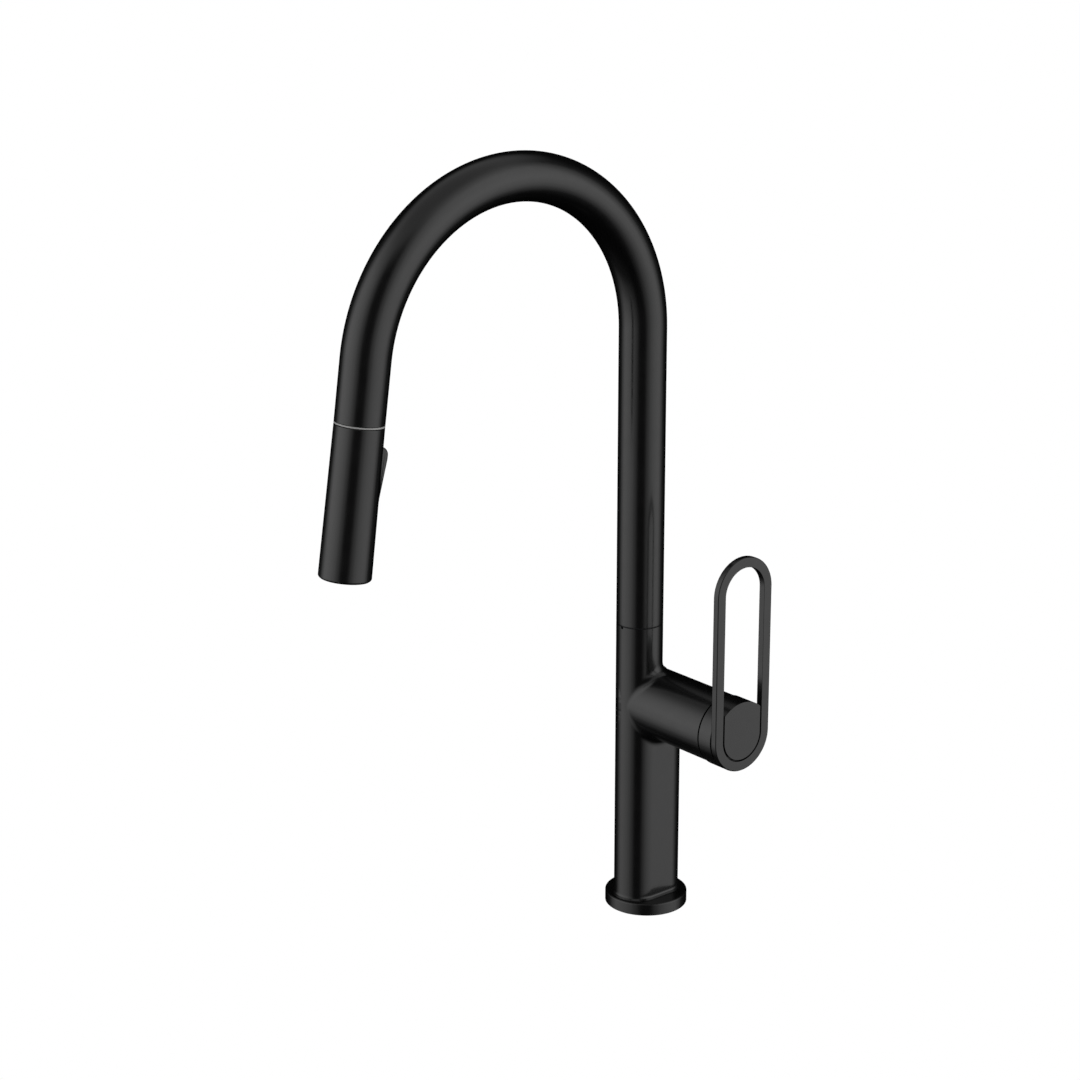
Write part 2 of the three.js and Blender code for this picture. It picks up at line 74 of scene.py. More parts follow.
SPOUT_LOW, SPOUT_HIGH = corners("spout_tube")
TUBE_R = SPOUT_HIGH.x
TUBE_WALL = 1.5
COLUMN_Y = JOINTS["spout_swivel"]["pos_m"][1] / MM
VALVE = Vector(JOINTS["handle_flow"]["pos_m"]) / MM
VALVE_Z = VALVE.z
DOCK = Vector(JOINTS["spray_turn"]["pos_m"]) / MM
DOCK_AXIS = Vector(JOINTS["spray_turn"]["axis"]).normalized()
TIP_TILT = math.atan2(DOCK_AXIS.y, DOCK_AXIS.z)
PULL = JOINTS["spray_pull"]["range_m"][1] / MM

BODY_HIGH = corners("column_body")[1]
COLUMN_TOP = BODY_HIGH.z
REAR_Y = BODY_HIGH.y - TUBE_R
BARREL_R = 20.75
BARREL_END = BODY_HIGH.x
BASE_HIGH = corners("base_flange")[1]
BASE_R = BASE_HIGH.x
BASE_H = BASE_HIGH.z
LOOP_LOW, LOOP_HIGH = corners("handle_loop")
HUB_HIGH = corners("handle_hub")[1]
HANDLE_R = HUB_HIGH.y
HANDLE_FACE = HUB_HIGH.x
LOOP_BACK = LOOP_LOW.x
LOOP_RISE = LOOP_HIGH.z - VALVE_Z - HANDLE_R

LOOP_INNER_R = 15.2
SPRAY_LENGTH = 85.7
SPRAY_TOP_R = 14.0
SPRAY_END_R = 14.8
HOSE_R = 6.0
TIP_STRAIGHT = 35.5

# The tip leaves the bend at TIP_TILT and runs straight to the dock, which fixes the bend's radius.
BEND_R = (COLUMN_Y - DOCK.y - TIP_STRAIGHT * math.sin(TIP_TILT)) / (1 + math.cos(TIP_TILT))
BEND_Z = DOCK.z + TIP_STRAIGHT * math.cos(TIP_TILT) - BEND_R * math.sin(TIP_TILT)

TO_COLUMN = Matrix.Translation((0, COLUMN_Y, 0))
TO_VALVE = Matrix(((0, 0, 1, 0), (1, 0, 0, 0), (0, 1, 0, VALVE_Z), (0, 0, 0, 1)))
TO_DOCK = Matrix.Translation(DOCK) @ Matrix.Rotation(-TIP_TILT, 4, "X")
TO_ROW = Matrix.Identity(4)
TO_SMALL = Matrix.Scale(MM, 4)

ROUND, FINE, SMALL, TINY = 160, 96, 48, 24  # facets round a piece, by its size

# ---- Camera, floor and light ----------------------------------------------------------------------

CAMERA_AZIMUTH = math.radians(50.05)
CAMERA_TILT = math.radians(18.03)
CAMERA_PLACE = (1.2452, -1.128, 0.7789)
CAMERA_LENS = 99.36

# How bright the studio is, by degrees round from the dark gap between its two lights, and by degrees up.
DARK_GAP = CAMERA_AZIMUTH - math.radians(3)
LIGHT_ROUND = [(180, 0.0), (140, 0.0), (120, 0.04), (106, 0.4), (92, 0.88), (78, 1.0),
               (60, 0.95), (44, 0.76), (29, 0.4), (10, 0.03)]
LIGHT_UP = [(-75, 0.0), (-50, 0.04), (-38, 0.3), (-28, 0.6), (-16, 0.84), (2, 1.0),
            (30, 0.93), (48, 0.75), (75, 0.5)]
OVERHEAD = (0.55, 0.95)  # sines of the heights where the overhead grey fades in
OVERHEAD_GREY = (0.6, 0.6, 0.6, 1)
STUDIO_STRENGTH = 1.68


def make_camera():
    camera = bpy.data.objects.new("camera", bpy.data.cameras.new("camera"))
    bpy.context.scene.collection.objects.link(camera)
    camera.data.sensor_width = 36
    camera.data.lens = CAMERA_LENS
    camera.data.clip_start = 0.01
    camera.data.clip_end = 100
    camera.location = CAMERA_PLACE
    sideways, forward = math.sin(CAMERA_AZIMUTH), math.cos(CAMERA_AZIMUTH)
    level = math.cos(CAMERA_TILT)
    back = Vector((sideways * level, -forward * level, math.sin(CAMERA_TILT)))
    camera.rotation_mode = "QUATERNION"
    camera.rotation_quaternion = (-back).to_track_quat("-Z", "Y")
    bpy.context.scene.camera = camera


def seen_only_by_camera(piece):
    piece.visible_diffuse = False
    piece.visible_glossy = False
    piece.visible_transmission = False
    piece.visible_shadow = False


def glow_material(name, strength):
    material, nodes, links = blank_material(name)
    glow = nodes.new("ShaderNodeEmission")
    glow.inputs["Color"].default_value = (1, 1, 1, 1)
    glow.inputs["Strength"].default_value = strength
    out = nodes.new("ShaderNodeOutputMaterial")
    links.new(glow.outputs[0], out.inputs["Surface"])
    return material


def make_stage():
    """A white floor that runs up into a white backdrop, which only the camera sees."""
    floor_half, sky_r = 5.8, 6.0
    bm = bmesh.new()
    bmesh.ops.create_circle(bm, cap_ends=True, radius=floor_half, segments=SMALL)
    floor = link_mesh("floor", bm)
    bm = bmesh.new()
    bmesh.ops.create_uvsphere(bm, u_segments=SMALL, v_segments=SMALL // 2, radius=sky_r)
    bmesh.ops.reverse_faces(bm, faces=bm.faces)
    backdrop = link_mesh("backdrop", bm)
    for piece in (floor, backdrop):
        piece.data.materials.append(glow_material("paper", 1.0))
        seen_only_by_camera(piece)


def ramp(nodes, stops):
    """A colour ramp through (place, grey) stops."""
    node = nodes.new("ShaderNodeValToRGB")
    node.color_ramp.interpolation = "EASE"
    elements = node.color_ramp.elements
    while len(elements) < len(stops):
        elements.new(0.5)
    for element, (place, grey) in zip(elements, stops):
        element.position = place
        element.color = (grey, grey, grey, 1)
    return node


def to_unit(nodes, links, socket, low, high, kind="LINEAR"):
    """A value brought from low..high to 0..1."""
    spread = nodes.new("ShaderNodeMapRange")
    spread.interpolation_type = kind
    spread.inputs["From Min"].default_value = low
    spread.inputs["From Max"].default_value = high
    links.new(socket, spread.inputs["Value"])
    return spread.outputs["Result"]


def mix_colours(nodes, links, first, second, factor, blend="MIX"):
    """Two colours mixed; each of the three may be a socket or a plain value."""
    mix = nodes.new("ShaderNodeMix")
    mix.data_type = "RGBA"
    mix.blend_type = blend
    colours = {socket.name: socket for socket in mix.inputs if socket.type == "RGBA"}
    for value, socket in ((first, colours["A"]), (second, colours["B"]), (factor, mix.inputs["Factor"])):
        if isinstance(value, bpy.types.NodeSocket):
            links.new(value, socket)
        else:
            socket.default_value = value
    return next(socket for socket in mix.outputs if socket.type == "RGBA")


def light_round(nodes, links, direction):
    """Grey by the compass: bright to the left and right, dark in the gap and opposite it."""
    flat = nodes.new("ShaderNodeVectorMath")
    flat.operation = "MULTIPLY"
    flat.inputs[1].default_value = (1, 1, 0)
    unit = nodes.new("ShaderNodeVectorMath")
    unit.operation = "NORMALIZE"
    facing = nodes.new("ShaderNodeVectorMath")
    facing.operation = "DOT_PRODUCT"
    facing.inputs[1].default_value = (math.sin(DARK_GAP), -math.cos(DARK_GAP), 0)
    links.new(direction, flat.inputs[0])
    links.new(flat.outputs[0], unit.inputs[0])
    links.new(unit.outputs[0], facing.inputs[0])
    around = ramp(nodes, [(0.5 + 0.5 * math.cos(math.radians(a)), grey) for a, grey in LIGHT_ROUND])
    links.new(to_unit(nodes, links, facing.outputs["Value"], -1, 1), around.inputs[0])
    return around.outputs["Color"]


def make_studio():
    """Two tall soft lights, left and right of the camera, drawn into the world as smooth gradients."""
    world = bpy.data.worlds.new("studio")
    bpy.context.scene.world = world
    world.use_nodes = True
    nodes, links = world.node_tree.nodes, world.node_tree.links
    nodes.clear()
    direction = nodes.new("ShaderNodeTexCoord").outputs["Generated"]
    axes = nodes.new("ShaderNodeSeparateXYZ")
    links.new(direction, axes.inputs[0])
    upwards = axes.outputs["Z"]
    height = ramp(nodes, [(0.5 + 0.5 * math.sin(math.radians(a)), grey) for a, grey in LIGHT_UP])
    links.new(to_unit(nodes, links, upwards, -1, 1), height.inputs[0])
    overhead = to_unit(nodes, links, upwards, *OVERHEAD, "SMOOTHSTEP")
    around = mix_colours(nodes, links, light_round(nodes, links, direction), OVERHEAD_GREY, overhead)
    light = mix_colours(nodes, links, around, height.outputs["Color"], 1.0, "MULTIPLY")
    glow = nodes.new("ShaderNodeBackground")
    glow.inputs["Strength"].default_value = STUDIO_STRENGTH
    out = nodes.new("ShaderNodeOutputWorld")
    links.new(light, glow.inputs["Color"])
    links.new(glow.outputs[0], out.inputs["Surface"])


# ---- Mesh helpers ---------------------------------------------------------------------------------


def link_smooth(name, mesh):
    """A new piece that holds the mesh, shaded smooth."""
    piece = bpy.data.objects.new(name, mesh)
    bpy.context.scene.collection.objects.link(piece)
    mesh.polygons.foreach_set("use_smooth", [True] * len(mesh.polygons))
    return piece


def link_mesh(name, bm):
    mesh = bpy.data.meshes.new(name)
    bm.to_mesh(mesh)
    bm.free()
    return link_smooth(name, mesh)


def face_out(piece):
    """Turns every face of a closed piece outwards."""
    bm = bmesh.new()
    bm.from_mesh(piece.data)
    bmesh.ops.recalc_face_normals(bm, faces=bm.faces)
    bm.to_mesh(piece.data)
    bm.free()


def from_arrays(name, points, faces, place=TO_ROW):
    """A piece from points in millimetres, in the frame that place maps into the row frame."""
    mesh = bpy.data.meshes.new(name)
    mesh.from_pydata([tuple((place @ Vector(p)) * MM) for p in points], [], faces)
    mesh.validate()
    return link_smooth(name, mesh)


def rounded(corner_list, closed=True, steps=5):
    """Corners (a, b) or (a, b, radius) turned into points, with each radius drawn as an arc."""
    count = len(corner_list)
    points = []
    for i, corner in enumerate(corner_list):
        here = np.array(corner[:2], float)
        radius = corner[2] if len(corner) > 2 else 0
        ends = not closed and i in (0, count - 1)
        if radius == 0 or ends:
            points.append(tuple(here))
            continue
        before = np.array(corner_list[i - 1][:2], float) - here
        after = np.array(corner_list[(i + 1) % count][:2], float) - here
        before, after = before / np.linalg.norm(before), after / np.linalg.norm(after)
        half = math.acos(np.clip(before @ after, -1, 1)) / 2
        reach = radius / math.tan(half)
        middle = before + after
        centre = here + middle / np.linalg.norm(middle) * radius / math.sin(half)
        start, end = here + before * reach - centre, here + after * reach - centre
        turn = math.pi - 2 * half
        for k in range(steps + 1):
            t = k / steps
            point = (start * math.sin((1 - t) * turn) + end * math.sin(t * turn)) / math.sin(turn)
            points.append(tuple(centre + point))
    return points


def lathe(name, profile, place, facets=ROUND, steps=5):
    """A solid of revolution about Z. The profile of (r, z[, radius]) runs anticlockwise."""
    open_profile = profile[0][0] == 0
    points = rounded(profile, not open_profile, steps)
    verts, rows = [], []
    for r, z in points:
        if r < 1e-9:
            rows.append([len(verts)] * facets)
            verts.append((0, 0, z))
            continue
        rows.append(list(range(len(verts), len(verts) + facets)))
        for k in range(facets):
            a = 2 * math.pi * k / facets
            verts.append((r * math.cos(a), r * math.sin(a), z))
    faces = []
    last = len(rows) if not open_profile else len(rows) - 1
    for i in range(last):
        low, high = rows[i], rows[(i + 1) % len(rows)]
        for k in range(facets):
            j = (k + 1) % facets
            quad = [low[k], low[j], high[j], high[k]]
            face = [v for n, v in enumerate(quad) if v not in quad[:n]]
            if len(face) > 2:
                faces.append(face)
    return from_arrays(name, verts, faces, place)


def ring_across(centre, axis, profile):
    """A flat profile's points set across an axis; the profile's x stays X."""
    side = Vector((1, 0, 0))
    other = Vector(axis).cross(side)
    return [tuple(Vector(centre) + side * a + other * b) for a, b in profile]


def ring_faces(rings, facets, closed):
    """Quads from each ring of points to the next, and from the last to the first if closed."""
    faces = []
    for i in range(rings if closed else rings - 1):
        j = (i + 1) % rings
        for k in range(facets):
            n = (k + 1) % facets
            faces.append([i * facets + k, i * facets + n, j * facets + n, j * facets + k])
    return faces


def prism(name, outline, low, high, place, edge=0.0, steps=3, rounded_from=-1e6):
    """An outline of (x, y) extruded along Z, its top and bottom edges rounded where y is high enough."""
    bm = bmesh.new()
    bottom = [bm.verts.new((x, y, low)) for x, y in outline]
    base = bm.faces.new(bottom)
    grown = bmesh.ops.extrude_face_region(bm, geom=[base])
    lifted = [v for v in grown["geom"] if isinstance(v, bmesh.types.BMVert)]
    bmesh.ops.translate(bm, verts=lifted, vec=(0, 0, high - low))
    bmesh.ops.recalc_face_normals(bm, faces=bm.faces)
    if edge:
        rims = [e for e in bm.edges if any(len(f.verts) > 4 for f in e.link_faces)
                and all(v.co.y >= rounded_from for v in e.verts)]
        bmesh.ops.bevel(bm, geom=rims, offset=edge, segments=steps, profile=0.5,
                        affect="EDGES", clamp_overlap=False)
    bm.transform(TO_SMALL @ place)
    return link_mesh(name, bm)


def cut(piece, tools, how="DIFFERENCE"):
    """Exact boolean of a piece with throwaway tool pieces."""
    for tool in tools:
        step = piece.modifiers.new("cut", "BOOLEAN")
        step.operation = how
        step.solver = "EXACT"
        step.object = tool
        apply_modifiers(piece)
        bpy.data.objects.remove(tool)
    return piece


def apply_modifiers(piece):
    bpy.context.view_layer.update()
    evaluated = piece.evaluated_get(bpy.context.evaluated_depsgraph_get())
    mesh = bpy.data.meshes.new_from_object(evaluated)
    piece.modifiers.clear()
    old = piece.data
    piece.data = mesh
    bpy.data.meshes.remove(old)


def crease(piece, degrees=32):
    """Smooth shading that breaks at sharp edges."""
    mesh = piece.data
    mesh.polygons.foreach_set("use_smooth", [True] * len(mesh.polygons))
    bm = bmesh.new()
    bm.from_mesh(mesh)
    limit = math.radians(degrees)
    for edge in bm.edges:
        if len(edge.link_faces) == 2:
            edge.smooth = edge.calc_face_angle(0) < limit
    bm.to_mesh(mesh)
    bm.free()
    piece.modifiers.new("flats", "WEIGHTED_NORMAL").keep_sharp = True
    apply_modifiers(piece)
    return piece


def circle(radius, facets, start=0.0):
    turn = 2 * math.pi / facets
    return [(radius * math.cos(start + k * turn), radius * math.sin(start + k * turn))
            for k in range(facets)]


def slot_outline(radius, low, high, facets=SMALL):
    """A slot along Y: half circles about (0, low) and (0, high)."""
    top = [(radius * math.cos(math.pi * k / facets), high + radius * math.sin(math.pi * k / facets))
           for k in range(facets + 1)]
    return top + [(-x, low + high - y) for x, y in top]


# ---- Materials ------------------------------------------------------------------------------------


def blank_material(name):
    material = bpy.data.materials.new(name)
    material.use_nodes = True
    nodes, links = material.node_tree.nodes, material.node_tree.links
    nodes.clear()
    return material, nodes, links


def noise(nodes, links, scale, detail=3.0):
    place = nodes.new("ShaderNodeTexCoord")
    texture = nodes.new("ShaderNodeTexNoise")
    texture.inputs["Scale"].default_value = scale
    texture.inputs["Detail"].default_value = detail
    links.new(place.outputs["Object"], texture.inputs["Vector"])
    return texture.outputs["Fac"]


def stretch(nodes, links, socket, low, high):
    """A texture value spread between two numbers."""
    spread = nodes.new("ShaderNodeMapRange")
    spread.inputs["From Min"].default_value = 0.3
    spread.inputs["From Max"].default_value = 0.7
    spread.inputs["To Min"].default_value = low
    spread.inputs["To Max"].default_value = high
    links.new(socket, spread.inputs["Value"])
    return spread.outputs["Result"]


def surface(name, colour, roughness, metallic=0.0, grain=900, depth=0.00002, vary=0.12, sway=0.04):
    """A solid finish: the colour clouds slightly, the roughness sways, and a fine grain stands up."""
    cloud_scale, patch_scale = 45, 160
    material, nodes, links = blank_material(name)
    shader = nodes.new("ShaderNodeBsdfPrincipled")
    shader.inputs["Metallic"].default_value = metallic
    tint = nodes.new("ShaderNodeValToRGB")
    tint.color_ramp.elements[0].position = 0.3
    tint.color_ramp.elements[1].position = 0.7
    for element, gain in zip(tint.color_ramp.elements, (1 - vary, 1 + vary)):
        element.color = (*[min(1, c * gain) for c in colour], 1)
    links.new(noise(nodes, links, cloud_scale), tint.inputs[0])
    links.new(tint.outputs["Color"], shader.inputs["Base Color"])
    patch = stretch(nodes, links, noise(nodes, links, patch_scale), roughness - sway, roughness + sway)
    links.new(patch, shader.inputs["Roughness"])
    bump = nodes.new("ShaderNodeBump")
    bump.inputs["Distance"].default_value = depth
    bump.inputs["Strength"].default_value = 0.6
    links.new(noise(nodes, links, grain, 2), bump.inputs["Height"])
    links.new(bump.outputs["Normal"], shader.inputs["Normal"])
    out = nodes.new("ShaderNodeOutputMaterial")
    links.new(shader.outputs[0], out.inputs["Surface"])
    return material


def strand_wave(nodes, links, axes, lean):
    """A sine across strands that lean one way or the other along the hose."""
    across = nodes.new("ShaderNodeMath")
    across.operation = "MULTIPLY_ADD"
    across.inputs[1].default_value = lean
    links.new(axes.outputs["Y"], across.inputs[0])
    links.new(axes.outputs["X"], across.inputs[2])
    wave = nodes.new("ShaderNodeMath")
    wave.operation = "SINE"
    links.new(across.outputs[0], wave.inputs[0])
    return wave.outputs[0]


def braid_material():
    """A nylon braid over the hose: two sets of strands that cross, drawn in the tube's own UV, with painted shade
    darkening the grooves between the strands.
    """
    material, nodes, links = blank_material("hose_braid")
    shader = nodes.new("ShaderNodeBsdfPrincipled")
    shader.inputs["Roughness"].default_value = 0.55
    place = nodes.new("ShaderNodeUVMap")
    place.uv_map = "braid"
    axes = nodes.new("ShaderNodeSeparateXYZ")
    links.new(place.outputs["UV"], axes.inputs[0])
    crossed = nodes.new("ShaderNodeMath")
    crossed.operation = "MAXIMUM"
    links.new(strand_wave(nodes, links, axes, 1.0), crossed.inputs[0])
    links.new(strand_wave(nodes, links, axes, -1.0), crossed.inputs[1])
    height = to_unit(nodes, links, crossed.outputs[0], -0.2, 1)
    # Painted shade: the colour runs from near black down in the grooves between strands to dark grey on their
    # crowns.
    tint = nodes.new("ShaderNodeValToRGB")
    tint.color_ramp.elements[0].color = (0.004, 0.004, 0.004, 1)
    tint.color_ramp.elements[1].color = (0.07, 0.07, 0.072, 1)
    links.new(height, tint.inputs[0])
    links.new(tint.outputs["Color"], shader.inputs["Base Color"])
    bump = nodes.new("ShaderNodeBump")
    bump.inputs["Distance"].default_value = 0.0003
    links.new(height, bump.inputs["Height"])
    links.new(bump.outputs["Normal"], shader.inputs["Normal"])
    out = nodes.new("ShaderNodeOutputMaterial")
    links.new(shader.outputs[0], out.inputs["Surface"])
    return material


def make_materials():
    satin = dict(grain=2600, depth=0.000003, sway=0.03)
    return {
        "black_satin": surface("black_satin", (0.0035, 0.0035, 0.0036), 0.2, **satin),
        "brass": surface("brass", (0.62, 0.42, 0.17), 0.3, 1, grain=700),
        "steel": surface("steel", (0.56, 0.57, 0.58), 0.28, 1, grain=1400),
        "rubber": surface("rubber", (0.018, 0.018, 0.018), 0.72, grain=1100, depth=0.00004),
        "grey_nylon": surface("grey_nylon", (0.34, 0.34, 0.335), 0.5, grain=1600),
        "dark_plastic": surface("dark_plastic", (0.016, 0.016, 0.018), 0.48, grain=1500),
        "white_plastic": surface("white_plastic", (0.74, 0.74, 0.71), 0.45, grain=1500, vary=0.03),
        "ceramic": surface("ceramic", (0.84, 0.82, 0.77), 0.18, grain=2000, depth=0.000005, vary=0.03),
        "magnet": surface("magnet", (0.42, 0.42, 0.44), 0.3, 1, grain=1200),
        "braid": braid_material(),
    }


def dress(piece, slot, body, *nodes):
    """Gives a piece its finish, its body and the CAD nodes that it stands for."""
    piece.data.materials.clear()
    piece.data.materials.append(FINISH[slot])
    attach(piece, body)
    if nodes:
        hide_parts(*nodes)


# ---- Column ---------------------------------------------------------------------------------------

FILLET = 5.0  # between barrel and column
FLARE = 2.1  # where the column meets the base
CROWN_R = TUBE_R + REAR_Y  # the column's back leans in over the barrel on an ellipse,
CROWN_RISE = 20.9  # this far out and this high
CROWN_EASE = 3.0  # over which the lean runs out into the post
VOXEL = 0.6 * MM
BORE_R = 18.2  # for the cartridge
CHANNEL_R = 8.8  # for the hose
SPIGOT_R, SPIGOT_LOW = 11.1, 165  # the swivel spigot's bore and its floor
PORT_R = 4.2
PORTS = ((-6.6, 7), (6.6, 7), (0, 14.8))  # hot, cold and mixed


def rear_axis(z):
    """Where the column's round back is centred at a height: it leans in above the barrel's axis."""
    h = np.maximum(z - VALVE_Z, 0)
    arch = CROWN_R * np.sqrt(np.maximum(1 - (h / CROWN_RISE) ** 2, 0)) - TUBE_R
    mix = np.clip(0.5 + 0.5 * (arch - COLUMN_Y) / CROWN_EASE, 0, 1)
    return np.minimum(COLUMN_Y + (arch - COLUMN_Y) * mix + CROWN_EASE * mix * (1 - mix), REAR_Y)


def column_fields(p):
    """Distances outside the upright part and outside the barrel, for points in millimetres."""
    x, y, z = p.T
    h = z - VALVE_Z
    centre = np.clip(y, COLUMN_Y, rear_axis(z))
    upright = np.hypot(x, y - centre) - TUBE_R
    foot = np.clip(FLARE - (z - BASE_H), 0, FLARE)
    upright = upright - (FLARE - np.sqrt(FLARE**2 - foot**2))
    barrel = np.maximum(np.hypot(y, h) - BARREL_R, -x)
    return upright, barrel


def gradient(field, p, step=1e-3):
    out = np.empty_like(p)
    for axis in range(3):
        move = np.zeros(3)
        move[axis] = step
        out[:, axis] = (field(p + move) - field(p - move)) / (2 * step)
    return out


def column_field(p):
    """The column's surface is where this is zero: the two parts joined by a fillet."""
    upright, barrel = column_fields(p)
    across = gradient(lambda q: column_fields(q)[0], p)
    along = gradient(lambda q: column_fields(q)[1], p)
    sizes = np.linalg.norm(across, axis=1) * np.linalg.norm(along, axis=1)
    cosine = np.clip((across * along).sum(1) / np.maximum(sizes, 1e-9), -1, 1)
    spread = 4 * FILLET * (1 - np.sqrt((1 + cosine) / 2)) + 1e-6
    near = np.maximum(spread - np.abs(upright - barrel), 0) / spread
    return np.minimum(upright, barrel) - near**2 * spread / 4


def crown_stock(low):
    """The slot-shaped column up to the top of its leaning back, as a rough solid."""
    rises = [(CROWN_RISE + 0.5) * math.sin(a) for a in np.linspace(0, math.pi / 2, 24)]
    heights = [low] + [VALVE_Z + rise for rise in rises]
    rows = [slot_outline(TUBE_R, COLUMN_Y, max(float(rear_axis(z)), COLUMN_Y + 0.01), TINY) for z in heights]
    wide = len(rows[0])
    verts = [(x, y, z) for z, row in zip(heights, rows) for x, y in row]
    faces = ring_faces(len(rows), wide, closed=False)
    faces += [list(reversed(range(wide))), [len(verts) - wide + k for k in range(wide)]]
    return from_arrays("stock", verts, faces)


def column_blank():
    """The column's rough solid with one even skin. It runs past its ends, which are cut flat later."""
    over = 4
    stock = crown_stock(BASE_H - over)
    post = prism("post", circle(TUBE_R, FINE), BASE_H, COLUMN_TOP + over, TO_COLUMN)
    barrel = prism("barrel", circle(BARREL_R, FINE), 0, BARREL_END + over, TO_VALVE)
    bm = bmesh.new()
    for piece in (stock, post, barrel):
        bm.from_mesh(piece.data)
        bpy.data.objects.remove(piece)
    body = link_mesh("column", bm)
    remesh = body.modifiers.new("skin", "REMESH")
    remesh.mode = "VOXEL"
    remesh.voxel_size = VOXEL
    apply_modifiers(body)
    return body


def settle(body):
    """Newton steps that bring every vertex onto the column's exact surface."""
    rounds, longest, least_slope = 8, 1, 0.05
    points = np.empty(len(body.data.vertices) * 3)
    body.data.vertices.foreach_get("co", points)
    points = points.reshape(-1, 3) / MM
    for _ in range(rounds):
        value = column_field(points)
        slope = gradient(column_field, points)
        length = np.maximum((slope**2).sum(1), least_slope)
        points -= slope * (np.clip(value, -longest, longest) / length)[:, None]
    body.data.vertices.foreach_set("co", (points * MM).ravel())


def trim(body):
    """Cuts the column flat at its foot, its top and the barrel's end, and closes the cuts."""
    bm = bmesh.new()
    bm.from_mesh(body.data)
    for at, way in (((0, 0, BASE_H + 0.02), (0, 0, -1)), ((0, 0, COLUMN_TOP), (0, 0, 1)),
                    ((BARREL_END, 0, 0), (1, 0, 0))):
        where, way = Vector(at) * MM, Vector(way)
        sides = bm.verts[:] + bm.edges[:] + bm.faces[:]
        bmesh.ops.bisect_plane(bm, geom=sides, dist=1e-7, plane_co=where, plane_no=way, clear_outer=True)
        edges = [e for e in bm.edges if e.is_boundary
                 and all(abs((v.co - where).dot(way)) < 1e-6 for v in e.verts)]
        bmesh.ops.holes_fill(bm, edges=edges, sides=0)
    bmesh.ops.recalc_face_normals(bm, faces=bm.faces)
    bm.to_mesh(body.data)
    bm.free()


def column_bores():
    """The barrel's bore, the hose's way, the supply ports and the weep hole."""
    floor, lead = 19.2, 0.8
    bore = lathe("bore", [(0, floor), (BORE_R, floor), (BORE_R, BARREL_END - 0.6),
                          (BORE_R + lead, BARREL_END + 1), (0, BARREL_END + 1)], TO_VALVE, ROUND)
    past = COLUMN_TOP + 8
    way = lathe("way", [(0, 0), (CHANNEL_R, 0), (CHANNEL_R, SPIGOT_LOW), (SPIGOT_R, SPIGOT_LOW),
                        (SPIGOT_R, past), (0, past)], TO_COLUMN, SMALL)
    ports = [prism("port", circle(PORT_R, SMALL), 0, 18, Matrix.Translation((x, y, 0))) for x, y in PORTS]
    at_front = Matrix.Translation((0, COLUMN_Y - TUBE_R - 1, COLUMN_TOP - 0.55))
    drill = at_front @ Matrix.Rotation(-math.pi / 2, 4, "X")
    return [bore, way, *ports, prism("weep", circle(0.9, TINY), 0, 4.5, drill)]


def make_column():
    body = column_blank()
    settle(body)
    trim(body)
    foot = prism("foot", slot_outline(12.8, COLUMN_Y, REAR_Y), 4.5, BASE_H + 0.5, TO_ROW)
    cut(body, [foot], "UNION")
    cut(body, column_bores())
    crease(body, 38)
    dress(body, "black_satin", "column", "column_body")


def make_base():
    """The base disc, hollow below for the foot plate, on a gasket held in a groove."""
    recess_top, groove_top = 4.5, 1.8
    base = lathe("base", [(0, 0), (BASE_R, 0, 0.4), (BASE_R, BASE_H, 0.9), (0, BASE_H)], TO_ROW)
    recess = prism("recess", circle(20.4, FINE), -1, recess_top, TO_ROW)
    seat = prism("seat", slot_outline(13.1, COLUMN_Y, REAR_Y), 2, BASE_H + 1, TO_ROW)
    groove = lathe("groove", [(22.2, -1), (23.9, -1), (23.9, groove_top), (22.2, groove_top)], TO_ROW, FINE)
    cut(base, [recess, seat, groove])
    crease(base, 35)
    dress(base, "black_satin", "column", "base_flange")
    low, high = 0.1, groove_top - GAP
    gasket = lathe("gasket", [(22.5, low, 0.3), (23.6, low, 0.3), (23.6, high, 0.3), (22.5, high, 0.3)],
                   TO_ROW, FINE)
    dress(gasket, "rubber", "column", "deck_gasket")


# ---- Spout ----------------------------------------------------------------------------------------

BEND_SWEEP = math.pi - TIP_TILT


def neck(low, tip, bend_steps, rise_steps=1, tip_steps=1):
    """Centres and directions up the column's axis from low, round the bend and along the tip."""
    centres, axes = [], []
    for k in range(rise_steps):
        z = low + (BEND_Z - low) * k / rise_steps
        centres.append((0, COLUMN_Y, z))
        axes.append((0, 0, 1))
    for k in range(bend_steps + 1):
        a = BEND_SWEEP * k / bend_steps
        centres.append((0, COLUMN_Y - BEND_R * (1 - math.cos(a)), BEND_Z + BEND_R * math.sin(a)))
        axes.append((0, -math.sin(a), math.cos(a)))
    end = Vector(centres[-1])
    way = Vector(axes[-1])
    for k in range(1, tip_steps + 1):
        centres.append(tuple(end + way * (tip * k / tip_steps)))
        axes.append(tuple(way))
    return centres, axes


def make_spout():
    """One bent tube with a bore and rounded rims, as a closed run of rings: out, round the tip and back."""
    edge, quarter = 0.35, [k * math.pi / 6 for k in range(3)]
    centres, axes = neck(SPOUT_LOW.z + edge, TIP_STRAIGHT - 1.0 - edge, 120, 24, 6)
    outer, inner = TUBE_R, TUBE_R - TUBE_WALL
    start, end = Vector(centres[0]), Vector(centres[-1])
    up, out = Vector(axes[0]), Vector(axes[-1])
    rings = [(start - up * edge * math.cos(a), up, outer - edge + edge * math.sin(a)) for a in quarter]
    rings += [(centre, axis, outer) for centre, axis in zip(centres, axes)]
    rings += [(end + out * edge * math.cos(a), out, outer - edge + edge * math.sin(a))
              for a in reversed(quarter)]
    rings.append((end + out * edge, out, inner))
    rings += [(centre, axis, inner) for centre, axis in zip(reversed(centres), reversed(axes))]
    rings.append((start - up * edge, up, inner))
    verts = [point for centre, axis, radius in rings
             for point in ring_across(centre, axis, circle(radius, ROUND))]
    tube = from_arrays("spout", verts, ring_faces(len(rings), ROUND, closed=True))
    face_out(tube)
    crease(tube, 40)
    dress(tube, "black_satin", "spout", "spout_tube")


